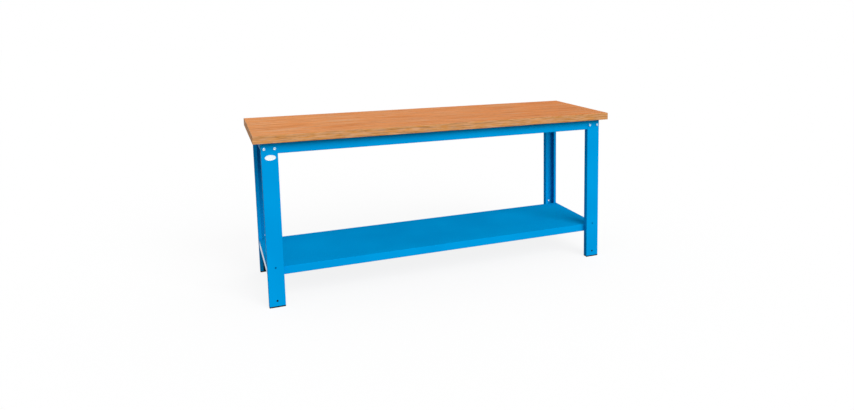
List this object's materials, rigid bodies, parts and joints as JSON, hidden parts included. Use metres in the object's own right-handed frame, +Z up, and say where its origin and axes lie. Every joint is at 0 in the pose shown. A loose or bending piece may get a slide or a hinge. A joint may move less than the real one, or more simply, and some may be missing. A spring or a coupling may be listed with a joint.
{
  "type": "assembly table",
  "caption": "Workshop assembly table: a lipped beech worktop on a bolted frame of folded sheet steel, with a full-width lower shelf and plastic feet.",
  "frame": {"origin": "on the floor, under the centre of the worktop", "axes": "+X along the length to the right as seen from the front, -Y is the front, +Z up"},
  "size_m": [2, 0.7, 0.9],
  "materials": {
    "beech_veneer": "clear-lacquered beech face veneer, straight grain along the length",
    "beech_lipping": "clear-lacquered flat-sawn beech lipping, flame grain along the edge",
    "blue_powder_coat": "smooth glossy light-blue powder coat on folded sheet steel",
    "zinc_plated_steel": "bright zinc plating",
    "black_nylon": "injection-moulded black nylon",
    "badge_enamel": "white enamelled plate, blank"
  },
  "bodies": {
    "table": {"worktop_panel": "beech_veneer", "front_edge_lipping": "beech_lipping", "rear_edge_lipping": "beech_lipping", "left_edge_lipping": "beech_lipping", "right_edge_lipping": "beech_lipping", "worktop_screws": "zinc_plated_steel", "front_rail": "blue_powder_coat", "rear_rail": "blue_powder_coat", "left_tie": "blue_powder_coat", "right_tie": "blue_powder_coat", "shelf_tray": "blue_powder_coat", "left_shelf_end": "blue_powder_coat", "right_shelf_end": "blue_powder_coat", "front_stiffener": "blue_powder_coat", "rear_stiffener": "blue_powder_coat", "badge_plate": "badge_enamel", "rail_bolts": "zinc_plated_steel", "rail_nuts": "zinc_plated_steel", "shelf_bolts": "zinc_plated_steel", "shelf_nuts": "zinc_plated_steel", "front_left_leg": "blue_powder_coat", "front_right_leg": "blue_powder_coat", "rear_left_leg": "blue_powder_coat", "rear_right_leg": "blue_powder_coat", "front_left_foot": "black_nylon", "front_right_foot": "black_nylon", "rear_left_foot": "black_nylon", "rear_right_foot": "black_nylon"}
  },
  "joints": []
}
